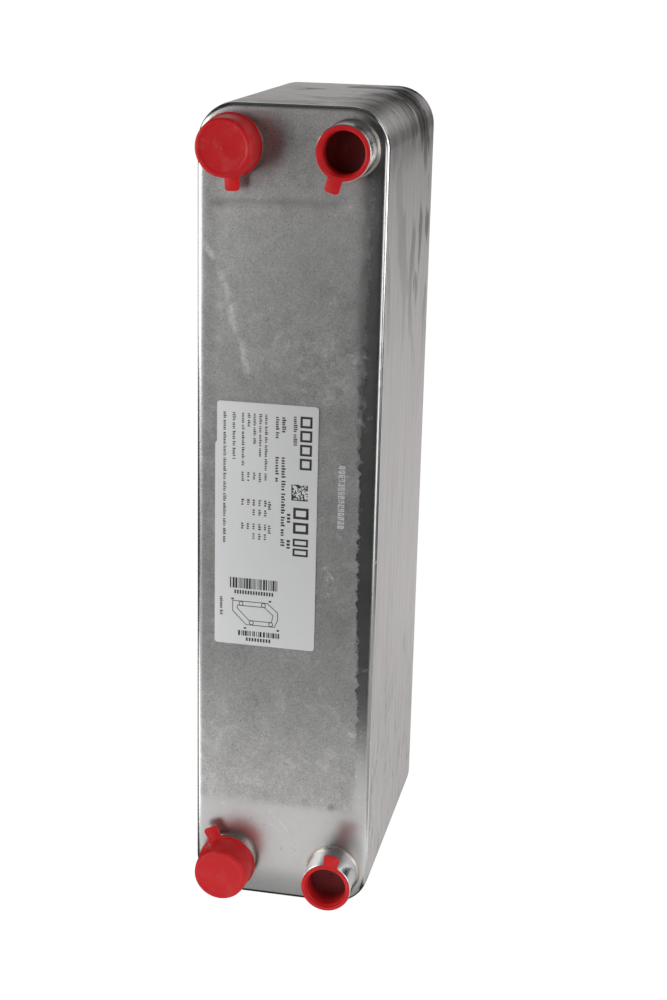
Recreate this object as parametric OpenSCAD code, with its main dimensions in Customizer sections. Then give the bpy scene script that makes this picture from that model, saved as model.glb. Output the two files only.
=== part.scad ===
// Brazed plate heat exchanger: a pack of nested pressed plates between two thick
// cover plates, with four ports on its front, closed by two caps and two plugs.
// X is to the right, Y to the rear and Z up, and the ports face -Y.
// The origin is in the middle of the base, halfway along the whole depth.

/* [Plate pack] */
// Number of channel plates
plate_count = 70; // [20:2:90]
// Distance from one plate to the next
plate_pitch = 2.24; // [2.1:0.02:3]
// Thickness of a pressed plate
sheet_t = 0.4; // [0.3:0.05:0.5]
// Gap between two nested rims, filled by the braze
braze_gap = 0.02; // [0.01:0.01:0.05]
// Height of the body
body_h = 529; // [450:1:600]
// Width of the body
body_w = 119; // [112:1:140]
// Radius of the body's four long corners
corner_r = 25; // [20:1:28]
// Length of the rim that each plate turns to the rear
rim_len = 5; // [4:0.5:6]

/* [Cover plates] */
// Thickness of the front and the rear cover plate
cover_t = 2.76; // [2:0.02:4]
// Width of the rounding along the front cover's edge
cover_edge_w = 4; // [1:0.1:5]

/* [Ports] */
// Distance between the left and the right port
port_dx = 72; // [70:1:78]
// Distance between the lower and the upper port
port_dz = 479; // [400:1:490]
// Height of a port's end above the front cover
port_h = 24; // [22:1:40]
// Radius of the passage through the plates at each port
channel_port_r = 14; // [12:0.5:15]
// Radius of the fitting's foot in the cover plate's hole
foot_r = 15.5; // [15.1:0.1:16]
// Outside radius of the plain tube on the right
tube_r = 16.75; // [16.2:0.05:17]
// Crest radius of the outside thread on the left
thread_r = 16.5; // [16.4:0.05:16.7]
// Root radius of the thread
thread_root_r = 15.15; // [15:0.05:15.4]
// Pitch of the thread
thread_pitch = 2.309; // [2:0.001:2.5]
// Bore radius of the solder socket on the right
right_socket_r = 14.05; // [14:0.05:14.15]
// Bore radius of the solder socket on the left
left_socket_r = 11.05; // [11:0.05:11.15]

/* [Caps and plugs] */
// Wall thickness of a cap
cap_wall = 0.7; // [0.6:0.05:1]
// Radius of a cap's flange
cap_flange_r = 19.4; // [19:0.1:21]
// Radius of a plug's rim
plug_rim_r = 16.3; // [16:0.1:17]
// Depth that a plug reaches into its socket
plug_reach = 16.5; // [8:0.5:16.5]
// Width of a pull tab
tab_w = 9.2; // [6:0.2:12]
// Length of a pull tab beyond its flange or rim
tab_len = 8; // [5:0.5:12]
// Thickness of a pull tab
tab_t = 1.2; // [0.8:0.1:2]

/* [Label] */
// Width of the type label
label_w = 65.5; // [40:0.5:70]
// Height of the type label
label_h = 163; // [80:1:170]
// Thickness of one label
label_t = 0.15; // [0.1:0.05:0.3]

/* [Hidden] */
$fn = 96;

// Colours
plate_steel = [0.62, 0.61, 0.60];
side_steel = [0.68, 0.66, 0.64];
polished_steel = [0.78, 0.78, 0.79];
copper = [0.72, 0.45, 0.32];
cap_red = [0.80, 0.12, 0.13];
label_white = [0.84, 0.85, 0.86];

// Positions along Y, counted from the front cover's outer face
pack_start = cover_t;
rear_cover_start = pack_start + (plate_count + 2) * plate_pitch;
body_depth = rear_cover_start + cover_t;
cap_end = port_h + 1.8;
front_y = (cap_end - body_depth) / 2;

// A rim leans outwards just enough for the next rim to nest in it
rim_angle = asin((sheet_t + braze_gap) / plate_pitch);
rim_wall = sheet_t / cos(rim_angle);
rim_bend = 0.3;

// Half sizes up to the centres of the corners
corner_x = body_w / 2 - corner_r;
corner_z = body_h / 2 - corner_r;
cover_r = corner_r - 0.3;
rear_cover_r = corner_r - cover_t * tan(rim_angle) - rim_wall - 0.1;

// Ports
left = -1;
right = 1;
top = 1;
bottom = -1;
channel_gap = plate_pitch - sheet_t;
spacer_r = 20;
collar_r = 17;
foot_len = cover_t + sheet_t;
tube_base_r = tube_r + 0.45;
tube_base_h = 1.6;
right_stop_e = 0;
right_stop_r = right_socket_r - 1.2;
socket_mouth_e = 7;
socket_mouth_r = right_socket_r + 0.25;
left_stop_e = port_h - 16;
left_stop_r = left_socket_r - 1.05;
thread_start = 7;
thread_end = port_h - 3;
thread_count = floor((thread_end - thread_start) / thread_pitch);
crest_w = 0.35;
thread_collar_r = thread_r + 1;
fillet_w = 1.2;
fillet_h = 0.9;

// Caps and plugs
cap_open_e = 6.2;
cap_flange_t = 1.3;
cap_face_t = 0.9;
cap_edge = 1.1;
cap_neck_e = 21.4;
cap_neck_r = thread_r + 0.85 + cap_wall;
cap_mouth_r = cap_neck_r + 0.6;
cap_tip_r = cap_neck_r - 0.6;
plug_rim_t = 1.25;
plug_gap = 0.05;
plug_mouth_r = right_socket_r - 0.15;
plug_tip_r = plug_mouth_r - 0.6;
plug_wall = 0.9;
plug_step = 2.2;
nub_r = 0.9;
nub_h = 0.6;

// Label, with its corner at the height and side where it is stuck on
label_x = -13;
label_z = 263.2;
label_corner_r = 2;
under_drop = 26.5;
under_shift = 1.2;

// Section of a pressed plate from the centre of a corner outwards: [radius, depth]
function rim_r(depth) = corner_r - (rim_len - depth) * tan(rim_angle);
function plate_section() = [
    [0, 0],
    [rim_r(0) - rim_bend, 0],
    [rim_r(rim_bend), rim_bend],
    [rim_r(rim_len), rim_len],
    [rim_r(rim_len) - rim_wall, rim_len],
    [rim_r(sheet_t) - rim_wall, sheet_t],
    [0, sheet_t]
];

// Section of the front cover, its front edge rounded with short chords
function front_cover_section() = [
    [0, 0],
    for (a = [0 : 15 : 90])
        [cover_r - cover_edge_w * (1 - sin(a)), cover_t * (1 - cos(a))],
    [0, cover_t]
];

function rear_cover_section() = [
    [0, 0],
    [rear_cover_r, 0],
    [rear_cover_r, cover_t],
    [0, cover_t]
];

// Quarter turn of a section round one corner, in the +X, -Z quadrant
module corner(section) {
    translate([corner_x, 0, -corner_z])
        rotate([-90, 0, 0])
            rotate_extrude(angle = 90)
                polygon(section);
}

// A closed plate: the section carried round a rectangle with round corners.
// depth is the thickness of its flat middle.
module swept_plate(section, depth) {
    translate([-corner_x, 0, -corner_z])
        cube([2 * corner_x, depth, 2 * corner_z]);
    for (side = [0, 1])
        mirror([side, 0, 0]) {
            translate([corner_x, 0, -corner_z])
                linear_extrude(2 * corner_z)
                    polygon(section);
            corner(section);
            mirror([0, 0, 1])
                corner(section);
        }
    for (side = [0, 1])
        mirror([0, 0, side])
            translate([corner_x, 0, corner_z])
                rotate([0, -90, 0])
                    linear_extrude(2 * corner_x)
                        polygon(section);
}

// A cylinder along Y, from one depth to another
module rod(r, from, to) {
    translate([0, from, 0])
        rotate([-90, 0, 0])
            cylinder(h = to - from, r = r);
}

// A ring along Y
module ring(outer, inner, from, to) {
    difference() {
        rod(outer, from, to);
        rod(inner, from - 1, to + 1);
    }
}

// A turned shape round a port's axis, its points [radius, height above the cover]
module turned(points) {
    rotate([90, 0, 0])
        rotate_extrude()
            polygon(points);
}

// Puts children at one port
module at_port(side, level) {
    translate([side * port_dx / 2, 0, level * port_dz / 2])
        children();
}

module at_every_port() {
    for (side = [left, right])
        for (level = [bottom, top])
            at_port(side, level)
                children();
}

// Moves what is drawn from the body's own centre to the part's frame
module placed() {
    translate([0, front_y, body_h / 2])
        children();
}

// One channel plate. The two ports on the closed side get a collar that
// reaches the next plate and keeps them out of this plate's channel.
module channel_plate(closed_side) {
    difference() {
        union() {
            swept_plate(plate_section(), sheet_t);
            for (level = [bottom, top])
                at_port(closed_side, level)
                    rod(collar_r, sheet_t / 2, plate_pitch);
        }
        at_every_port()
            rod(channel_port_r, -1, plate_pitch + 1);
        for (level = [bottom, top])
            at_port(closed_side, level)
                rod(collar_r - sheet_t, -1, channel_gap);
    }
}

// Every second channel plate, from the given one
module channel_plates(first, closed_side) {
    for (i = [first : 2 : plate_count])
        translate([0, pack_start + i * plate_pitch, 0])
            channel_plate(closed_side);
}

module front_cover_plate() {
    color(plate_steel) placed() difference() {
        swept_plate(front_cover_section(), cover_t);
        at_every_port()
            rod(foot_r, -1, cover_t + 1);
    }
}

module front_seal_plate() {
    color(side_steel) placed() translate([0, pack_start, 0]) difference() {
        swept_plate(plate_section(), sheet_t);
        at_every_port()
            rod(foot_r, -1, sheet_t + 1);
    }
}

module front_spacer_rings() {
    color(side_steel) placed() at_every_port()
        ring(spacer_r, channel_port_r, pack_start + sheet_t, pack_start + plate_pitch);
}

module channel_plates_odd() {
    color(side_steel) placed() channel_plates(1, right);
}

module channel_plates_even() {
    color(side_steel) placed() channel_plates(2, left);
}

module rear_seal_plate() {
    color(side_steel) placed()
        translate([0, rear_cover_start - plate_pitch, 0])
            swept_plate(plate_section(), sheet_t);
}

module rear_support_discs() {
    color(side_steel) placed() at_every_port()
        rod(spacer_r, rear_cover_start - channel_gap, rear_cover_start);
}

module rear_cover_plate() {
    color(side_steel) placed() translate([0, rear_cover_start, 0])
        swept_plate(rear_cover_section(), cover_t);
}

// Plain tube with a solder socket and a stop for the pipe
module socket_port() {
    turned([
        [right_stop_r, -foot_len],
        [foot_r, -foot_len],
        [foot_r, 0],
        [tube_base_r, 0],
        [tube_base_r, tube_base_h],
        [tube_r, tube_base_h + 0.5],
        [tube_r, port_h - 0.4],
        [tube_r - 0.4, port_h],
        [socket_mouth_r, port_h],
        [socket_mouth_r, socket_mouth_e],
        [right_socket_r, socket_mouth_e],
        [right_socket_r, right_stop_e],
        [right_stop_r, right_stop_e]
    ]);
}

// Outline of the thread, from its foot outwards: one flat crest per turn
function thread_points() = [
    for (i = [0 : thread_count - 1])
        let (start = thread_start + i * thread_pitch, flank = (thread_pitch - crest_w) / 2)
            each [
                [thread_root_r, start],
                [thread_r, start + flank],
                [thread_r, start + flank + crest_w]
            ]
];

// Threaded stub with a smaller solder socket inside
module threaded_port() {
    turned(concat(
        [
            [left_stop_r, -foot_len],
            [foot_r, -foot_len],
            [foot_r, 0],
            [thread_collar_r, 0],
            [thread_collar_r, thread_start - 1.5],
            [thread_root_r, thread_start - 1]
        ],
        thread_points(),
        [
            [thread_root_r, thread_end],
            [thread_root_r, port_h - 0.5],
            [thread_root_r - 0.5, port_h],
            [left_socket_r, port_h],
            [left_socket_r, left_stop_e],
            [left_stop_r, left_stop_e]
        ]
    ));
}

// Fillet of copper round the foot of a fitting
module braze_ring(inner) {
    turned([
        [inner, 0],
        [inner + fillet_w, 0],
        [inner + fillet_w * 0.45, fillet_h * 0.25],
        [inner + fillet_w * 0.15, fillet_h * 0.6],
        [inner, fillet_h]
    ]);
}

// Flat pull tab, from a radius outwards, pointing the given way:
// 0 is right, 90 is up and 270 is down
module pull_tab(from_r, to_r, height, direction) {
    rotate([0, -direction, 0])
        translate([from_r, -height - tab_t, -tab_w / 2])
            cube([to_r - from_r, tab_t, tab_w]);
}

module cap(direction) {
    difference() {
        union() {
            turned([
                [0, cap_open_e],
                [cap_flange_r, cap_open_e],
                [cap_flange_r, cap_open_e + cap_flange_t],
                [cap_mouth_r, cap_open_e + cap_flange_t],
                [cap_neck_r, cap_neck_e],
                [cap_tip_r, cap_end - cap_edge],
                [cap_tip_r - cap_edge * 0.3, cap_end - cap_edge * 0.3],
                [cap_tip_r - cap_edge, cap_end],
                [0, cap_end]
            ]);
            pull_tab(cap_mouth_r, cap_flange_r + tab_len, cap_open_e, direction);
        }
        turned([
            [0, cap_open_e - 1],
            [cap_mouth_r - cap_wall, cap_open_e - 1],
            [cap_mouth_r - cap_wall, cap_open_e + cap_flange_t],
            [cap_neck_r - cap_wall, cap_neck_e],
            [cap_tip_r - cap_wall, cap_end - cap_face_t],
            [0, cap_end - cap_face_t]
        ]);
    }
}

module plug(direction) {
    seat = port_h + plug_gap;
    face = seat + plug_rim_t;
    tip = port_h - plug_reach;
    turned([
        [0, tip],
        [plug_tip_r - 0.5, tip],
        [plug_tip_r, tip + 0.5],
        [plug_mouth_r, seat],
        [plug_rim_r, seat],
        [plug_rim_r, face - 0.3],
        [plug_rim_r - 0.3, face],
        [plug_mouth_r - 0.3, face],
        [plug_mouth_r - 0.5, face - plug_step + 0.3],
        [plug_mouth_r - plug_wall, face - plug_step],
        [plug_tip_r - plug_wall, tip + plug_wall],
        [nub_r, tip + plug_wall],
        [nub_r, tip + plug_wall + nub_h],
        [0, tip + plug_wall + nub_h]
    ]);
    pull_tab(plug_rim_r - 0.6, plug_rim_r + tab_len, seat, direction);
}

module top_left_port() {
    color(polished_steel) placed() at_port(left, top) threaded_port();
}

module bottom_left_port() {
    color(polished_steel) placed() at_port(left, bottom) threaded_port();
}

module top_right_port() {
    color(polished_steel) placed() at_port(right, top) socket_port();
}

module bottom_right_port() {
    color(polished_steel) placed() at_port(right, bottom) socket_port();
}

module top_left_braze_ring() {
    color(copper) placed() at_port(left, top) braze_ring(thread_collar_r);
}

module bottom_left_braze_ring() {
    color(copper) placed() at_port(left, bottom) braze_ring(thread_collar_r);
}

module top_right_braze_ring() {
    color(copper) placed() at_port(right, top) braze_ring(tube_base_r);
}

module bottom_right_braze_ring() {
    color(copper) placed() at_port(right, bottom) braze_ring(tube_base_r);
}

module top_left_cap() {
    color(cap_red) placed() at_port(left, top) cap(272);
}

module bottom_left_cap() {
    color(cap_red) placed() at_port(left, bottom) cap(116);
}

module top_right_plug() {
    color(cap_red) placed() at_port(right, top) plug(254);
}

module bottom_right_plug() {
    color(cap_red) placed() at_port(right, bottom) plug(80);
}

// A thin rectangle with round corners in the XZ plane, its front face at -depth
module sticker(w, h, r, depth) {
    translate([0, -depth, 0]) rotate([-90, 0, 0]) linear_extrude(label_t) {
        square([w - 2 * r, h], center = true);
        square([w, h - 2 * r], center = true);
        for (x = [-1, 1])
            for (z = [-1, 1])
                translate([x * (w / 2 - r), z * (h / 2 - r)])
                    circle(r);
    }
}

module type_label() {
    color(label_white) placed() translate([label_x, 0, label_z - body_h / 2])
        sticker(label_w, label_h, label_corner_r, 2 * label_t);
}

module under_label() {
    color(label_white) placed()
        translate([label_x - under_shift, 0, label_z - body_h / 2 - under_drop / 2])
            sticker(label_w, label_h - under_drop, label_corner_r, label_t);
}

front_cover_plate();
front_seal_plate();
front_spacer_rings();
channel_plates_odd();
channel_plates_even();
rear_seal_plate();
rear_support_discs();
rear_cover_plate();
top_left_port();
bottom_left_port();
top_right_port();
bottom_right_port();
top_left_braze_ring();
bottom_left_braze_ring();
top_right_braze_ring();
bottom_right_braze_ring();
top_left_cap();
bottom_left_cap();
top_right_plug();
bottom_right_plug();
type_label();
under_label();
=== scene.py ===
"""Looks of the brazed plate heat exchanger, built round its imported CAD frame.
Shapes are worked out in millimetres in the CAD frame: X right, Y rear, Z up, ports facing -Y."""

import math

import bmesh
import bpy
import numpy as np
from mathutils import Matrix, Vector, noise
from mathutils.geometry import delaunay_2d_cdt


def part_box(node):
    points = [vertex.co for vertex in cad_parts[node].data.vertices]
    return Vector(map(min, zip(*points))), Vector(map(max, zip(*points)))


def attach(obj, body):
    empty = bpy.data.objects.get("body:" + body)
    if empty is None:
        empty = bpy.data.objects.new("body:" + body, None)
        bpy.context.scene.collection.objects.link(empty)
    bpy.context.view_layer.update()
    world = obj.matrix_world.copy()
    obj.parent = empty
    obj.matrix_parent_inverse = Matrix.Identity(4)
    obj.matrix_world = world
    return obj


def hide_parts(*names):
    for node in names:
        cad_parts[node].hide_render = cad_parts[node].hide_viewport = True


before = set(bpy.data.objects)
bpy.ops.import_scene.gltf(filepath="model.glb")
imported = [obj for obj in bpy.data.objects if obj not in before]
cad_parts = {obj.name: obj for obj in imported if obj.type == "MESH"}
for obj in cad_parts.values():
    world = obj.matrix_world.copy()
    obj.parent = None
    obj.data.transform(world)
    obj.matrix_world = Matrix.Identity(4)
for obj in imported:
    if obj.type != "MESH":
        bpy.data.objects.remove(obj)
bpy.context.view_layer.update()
rng = np.random.default_rng(7)
scene = bpy.context.scene
MM = 0.001


def box_mm(node):
    """Lowest and highest corner of a CAD node in millimetres."""
    low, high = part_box(node)
    return np.array(low) / MM, np.array(high) / MM


# ---------------------------------------------------------------- dimensions
COVER_LOW, COVER_HIGH = box_mm("front_cover_plate")
BODY_LOW, BODY_HIGH = box_mm("rear_seal_plate")
FRONT_Y = COVER_LOW[1]
REAR_Y = BODY_HIGH[1]
COVER_T = COVER_HIGH[1] - COVER_LOW[1]
MID_Z = (BODY_LOW[2] + BODY_HIGH[2]) / 2
CORNER_R = 25.0
INNER_X = BODY_HIGH[0] - CORNER_R
INNER_Z = (BODY_HIGH[2] - BODY_LOW[2]) / 2 - CORNER_R
COVER_R = COVER_HIGH[0] - INNER_X
EDGE_W = 4.0
PITCH = 2.24
SHEETS = 72  # 70 channel plates and two seal plates
RIM_LEN = 5.0
SHEET = 0.4
BRAZE_GAP = 0.02
RIM_SLOPE = (SHEET + BRAZE_GAP) / math.sqrt(PITCH**2 - (SHEET + BRAZE_GAP) ** 2)
FOOT_R = 15.5
FOOT_DEPTH = COVER_T + SHEET
REAR_LOW, REAR_HIGH = box_mm("rear_cover_plate")
REAR_OUTER = REAR_HIGH[0] - INNER_X
LEFT_PORTS = ["top_left", "bottom_left"]
RIGHT_PORTS = ["top_right", "bottom_right"]
PORTS = LEFT_PORTS + RIGHT_PORTS
LEFT_FOOT_R = 17.5
RIGHT_FOOT_R = 17.2
CREASE_Z = 469.0
WHITE = (1, 1, 1, 1)


def port_centre(name):
    """X and Z of a port's axis."""
    low, high = box_mm(name + "_braze_ring")
    return (low[0] + high[0]) / 2, (low[2] + high[2]) / 2


# ---------------------------------------------------------------- shader helper
class Shader:
    """A material whose nodes read only object coordinates."""

    def __init__(self, name):
        self.material = bpy.data.materials.new(name)
        self.material.use_nodes = True
        self.tree = self.material.node_tree
        self.tree.nodes.clear()
        self.output = self.node("ShaderNodeOutputMaterial")
        coordinates = self.node("ShaderNodeTexCoord")
        self.place = coordinates.outputs["Object"]
        self.normal = coordinates.outputs["Normal"]
        parts = self.node("ShaderNodeSeparateXYZ", {0: self.place})
        self.x, self.y, self.z = parts.outputs

    def node(self, kind, inputs=None, **settings):
        made = self.tree.nodes.new(kind)
        for key, value in settings.items():
            setattr(made, key, value)
        for key, value in (inputs or {}).items():
            if isinstance(value, bpy.types.NodeSocket):
                self.tree.links.new(value, made.inputs[key])
            else:
                made.inputs[key].default_value = value
        return made

    def math(self, operation, first, second=0.0, clamp=False):
        inputs = {0: first, 1: second}
        return self.node("ShaderNodeMath", inputs, operation=operation, use_clamp=clamp).outputs[0]

    def add(self, *values):
        total = values[0]
        for value in values[1:]:
            total = self.math("ADD", total, value)
        return total

    def times(self, *values):
        total = values[0]
        for value in values[1:]:
            total = self.math("MULTIPLY", total, value)
        return total

    def ramp(self, value, low, high, start=0.0, end=1.0):
        """Smooth step from start to end as value goes from low to high."""
        inputs = {"Value": value, "From Min": low, "From Max": high, "To Min": start, "To Max": end}
        return self.node("ShaderNodeMapRange", inputs, interpolation_type="SMOOTHSTEP").outputs[0]

    def band(self, value, low, high, soft):
        """1 between low and high, falling to 0 over soft on both sides."""
        rise = self.ramp(value, low - soft, low + soft)
        fall = self.ramp(value, high - soft, high + soft, 1.0, 0.0)
        return self.times(rise, fall)

    def stretched(self, scale, offset):
        inputs = {"Vector": self.place, "Scale": scale, "Location": offset}
        return self.node("ShaderNodeMapping", inputs).outputs[0]

    def noise(self, scale, detail=3.0, rough=0.55, stretch=(1, 1, 1), offset=(0, 0, 0), warp=0.0):
        """Noise from 0 to 1 with features about 1 / scale metres wide."""
        inputs = {"Vector": self.stretched(stretch, offset), "Scale": scale, "Detail": detail}
        inputs.update({"Roughness": rough, "Distortion": warp})
        return self.node("ShaderNodeTexNoise", inputs).outputs[0]

    def specks(self, scale, size, share, offset=(0, 0, 0)):
        """1 inside scattered round specks, of which only a share is kept."""
        inputs = {"Vector": self.stretched((1, 1, 1), offset), "Scale": scale}
        cells = self.node("ShaderNodeTexVoronoi", inputs)
        kept = self.node("ShaderNodeSeparateXYZ", {0: cells.outputs["Color"]}).outputs[0]
        inside = self.ramp(cells.outputs["Distance"], size * 0.5, size, 1.0, 0.0)
        return self.times(inside, self.math("LESS_THAN", kept, share))

    def distance(self, x, z):
        """Distance from a line along Y, in metres."""
        dx = self.math("SUBTRACT", self.x, x)
        dz = self.math("SUBTRACT", self.z, z)
        squares = self.add(self.times(dx, dx), self.times(dz, dz))
        return self.math("SQRT", squares)

    def stroke(self, points, width):
        """1 along a broken line through points (x, z in millimetres), with soft sides."""
        nearest = None
        for (x0, z0), (x1, z1) in zip(points, points[1:]):
            dx = (x1 - x0) * MM
            dz = (z1 - z0) * MM
            px = self.math("SUBTRACT", self.x, x0 * MM)
            pz = self.math("SUBTRACT", self.z, z0 * MM)
            along = self.add(self.times(px, dx), self.times(pz, dz))
            t = self.math("DIVIDE", along, dx * dx + dz * dz, clamp=True)
            ox = self.math("SUBTRACT", px, self.times(t, dx))
            oz = self.math("SUBTRACT", pz, self.times(t, dz))
            gap = self.math("SQRT", self.add(self.times(ox, ox), self.times(oz, oz)))
            nearest = gap if nearest is None else self.math("MINIMUM", nearest, gap)
        return self.ramp(nearest, 0.0, width * MM, 1.0, 0.0)

    def mix(self, share, first, second, blend="MIX"):
        inputs = {0: share, 6: first, 7: second}
        return self.node("ShaderNodeMix", inputs, data_type="RGBA", blend_type=blend).outputs[2]

    def grey(self, value):
        """A colour from one number."""
        return self.node("ShaderNodeCombineColor", {0: value, 1: value, 2: value}).outputs[0]

    def bump(self, height, strength, distance, normal=None):
        inputs = {"Height": height, "Strength": strength, "Distance": distance}
        if normal is not None:
            inputs["Normal"] = normal
        return self.node("ShaderNodeBump", inputs).outputs[0]

    def finish(self, **inputs):
        """Ends the material in one Principled shader and returns it."""
        named = {key.replace("_", " "): value for key, value in inputs.items()}
        shader = self.node("ShaderNodeBsdfPrincipled", named)
        self.tree.links.new(shader.outputs[0], self.output.inputs[0])
        return self.material


# ---------------------------------------------------------------- materials
def cover_steel():
    """Cover plates: a dull grainy field, and on the front a smooth border, stains, specks, heat tint and a
    painted shade along the crease.
    """
    s = Shader("cover_steel")
    cloud = s.noise(26, 4, 0.6, warp=0.3)
    mottle = s.noise(85, 5, 0.7, warp=0.4)
    fine = s.noise(230, 3, 0.65)
    grain = s.noise(1400, 2, 0.7)
    stain = s.noise(48, 6, 0.72, offset=(0.7, 0.0, 0.3), warp=0.8)
    facing = s.math("ABSOLUTE", s.node("ShaderNodeSeparateXYZ", {0: s.normal}).outputs[1])
    flat = s.ramp(facing, 0.94, 0.985)
    # The front plate lies ahead and the rear plate behind. The marks are on the front plate only.
    ahead = s.ramp(s.y, 0.02, 0.04, 1.0, 0.0)
    behind = s.math("SUBTRACT", 1.0, ahead)
    # The dull field ends in a ragged line near the right edge and above the foot.
    ragged = s.times(s.math("SUBTRACT", s.noise(190, 5, 0.75, warp=0.5), 0.5), 0.012)
    right_edge = s.add(s.ramp(s.z, 0.10, 0.30, 0.0495, 0.0465), s.ramp(s.z, 0.34, 0.46, 0.0, 0.001))
    from_right = s.add(s.math("SUBTRACT", right_edge, s.x), ragged)
    from_below = s.add(s.math("SUBTRACT", s.z, 0.068), ragged)
    inside = s.add(s.math("MINIMUM", from_right, from_below), behind)
    fade = s.add(0.0010, s.ramp(s.z, 0.070, 0.10, 0.0050, 0.0), s.ramp(s.z, 0.28, 0.43, 0.0, 0.0080))
    field = s.times(s.ramp(s.math("DIVIDE", inside, fade), -0.5, 1.0), flat)
    pits = s.times(s.specks(520, 0.30, 0.16, (1, 4, 2)), field)
    rings = s.times(s.specks(170, 0.20, 0.10, (5, 2, 1)), field)
    smear = s.stroke([(-55, 443), (-48, 434), (-39, 415), (-36.5, 396), (-29, 381), (-27, 365)], 3.6)
    smear = s.times(smear, ahead, s.ramp(s.noise(110, 5, 0.75), 0.40, 0.60))
    powder = s.times(s.ramp(s.noise(75, 4, 0.7, offset=(0.3, 0.1, 0.2)), 0.60, 0.70), s.ramp(fine, 0.45, 0.6))
    handled = s.times(ahead, s.band(s.z, 0.350, 0.392, 0.022), s.ramp(s.x, -0.020, 0.012))
    crusted = s.times(handled, s.ramp(s.noise(105, 6, 0.78, offset=(0.4, 0.5, 0.1), warp=0.6), 0.49, 0.60))
    greasy = s.times(handled, s.ramp(s.noise(150, 5, 0.75, offset=(0.1, 0.8, 0.3)), 0.40, 0.50, 1.0, 0.0))
    streak = s.times(ahead, s.band(s.x, 0.0187, 0.0193, 0.0005), s.band(s.z, 0.36, 0.472, 0.01))
    scratch = s.stroke([(-2, 57), (4, 50)], 0.6)
    scratch = s.math("MAXIMUM", scratch, s.stroke([(-8, 54), (-1, 49)], 0.5))
    # Painted shade: a soft dark band along the pressed crease under the upper ports.
    crease = s.band(s.add(s.z, s.times(s.x, -0.02)), (CREASE_Z - 2.5) * MM, (CREASE_Z + 1.5) * MM, 0.0022)
    crease = s.times(crease, ahead, s.band(s.x, -0.046, 0.030, 0.008))
    pale = s.times(s.specks(360, 0.17, 0.055), s.ramp(s.x, 0.015, 0.04))
    dark = s.times(s.specks(330, 0.24, 0.16, (3, 1, 2)), s.ramp(s.z, 0.22, 0.36, 0.6, 0.15))
    large_dark = s.times(s.specks(150, 0.15, 0.08, (2, 5, 4)), s.ramp(s.z, 0.16, 0.22, 0.7, 0.0))
    dark = s.math("MAXIMUM", dark, large_dark)
    dark = s.times(dark, s.ramp(s.noise(60, 3, 0.6, offset=(0.5, 0.2, 0.1)), 0.40, 0.56))
    spot = s.ramp(s.distance(0.034, 0.071), 0.0015, 0.0045, 1.0, 0.0)
    patch = s.times(spot, ahead, s.ramp(s.noise(420, 3, 0.7), 0.35, 0.65))
    # Heat tint round the ports.
    near = None
    for name in PORTS:
        x, z = port_centre(name)
        gap = s.distance(x * MM, z * MM)
        near = gap if near is None else s.math("MINIMUM", near, gap)
    near = s.add(near, behind)
    halo = s.ramp(near, 0.0180, 0.0215, 1.0, 0.0)
    tint = s.times(s.ramp(near, 0.0178, 0.0200, 1.0, 0.0), s.ramp(s.noise(120, 3, 0.6), 0.42, 0.62))
    tint = s.times(tint, s.ramp(s.z, 0.2, 0.3, 1.0, 0.35))
    dusty = s.times(s.ramp(stain, 0.50, 0.60), field, s.ramp(s.z, 0.38, 0.44, 1.0, 0.3))
    dull = s.times(s.ramp(stain, 0.34, 0.46, 1.0, 0.0), field)
    uneven = s.ramp(s.z, 0.12, 0.30, 0.45, 1.0)
    # Brightness, colour and roughness.
    level = s.add(0.50, s.times(cloud, 0.10), s.times(uneven, fine, 0.09), s.times(uneven, mottle, 0.12))
    level = s.add(level, s.times(uneven, -0.08), s.times(field, -0.08), 0.06)
    level = s.add(level, s.times(dusty, 0.08), s.times(dull, -0.06))
    level = s.add(level, s.times(s.math("SUBTRACT", grain, 0.5), s.add(0.05, s.times(field, 0.62))))
    level = s.add(level, s.times(smear, 0.20), s.times(powder, 0.10))
    level = s.add(level, s.times(pale, 0.45), s.times(streak, -0.04))
    level = s.add(level, s.times(dark, -0.30), s.times(pits, -0.16), s.times(rings, -0.07))
    level = s.add(level, s.times(patch, -0.16), s.times(scratch, 0.10), s.times(crease, -0.07))
    level = s.add(level, s.times(crusted, 0.13), s.times(greasy, -0.10))
    colour = s.mix(1.0, s.grey(level), (1.0, 0.992, 0.982, 1), "MULTIPLY")
    colour = s.mix(s.times(tint, 0.55), colour, (0.40, 0.24, 0.15, 1))
    dull_foot = s.ramp(s.z, 0.06, 0.16, 0.10, 0.03)
    rough = s.add(0.19, s.times(flat, dull_foot), s.times(field, s.math("SUBTRACT", 0.23, dull_foot)))
    rough = s.add(rough, s.times(cloud, 0.06), s.times(smear, 0.15), s.times(patch, 0.2))
    rough = s.add(rough, s.times(halo, -0.04), s.times(powder, 0.1))
    relief = s.bump(fine, s.times(flat, 0.10), 0.0006)
    relief = s.bump(grain, s.times(field, 0.18), 0.0002, relief)
    return s.finish(Base_Color=colour, Metallic=1.0, Roughness=rough, Normal=relief)


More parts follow.
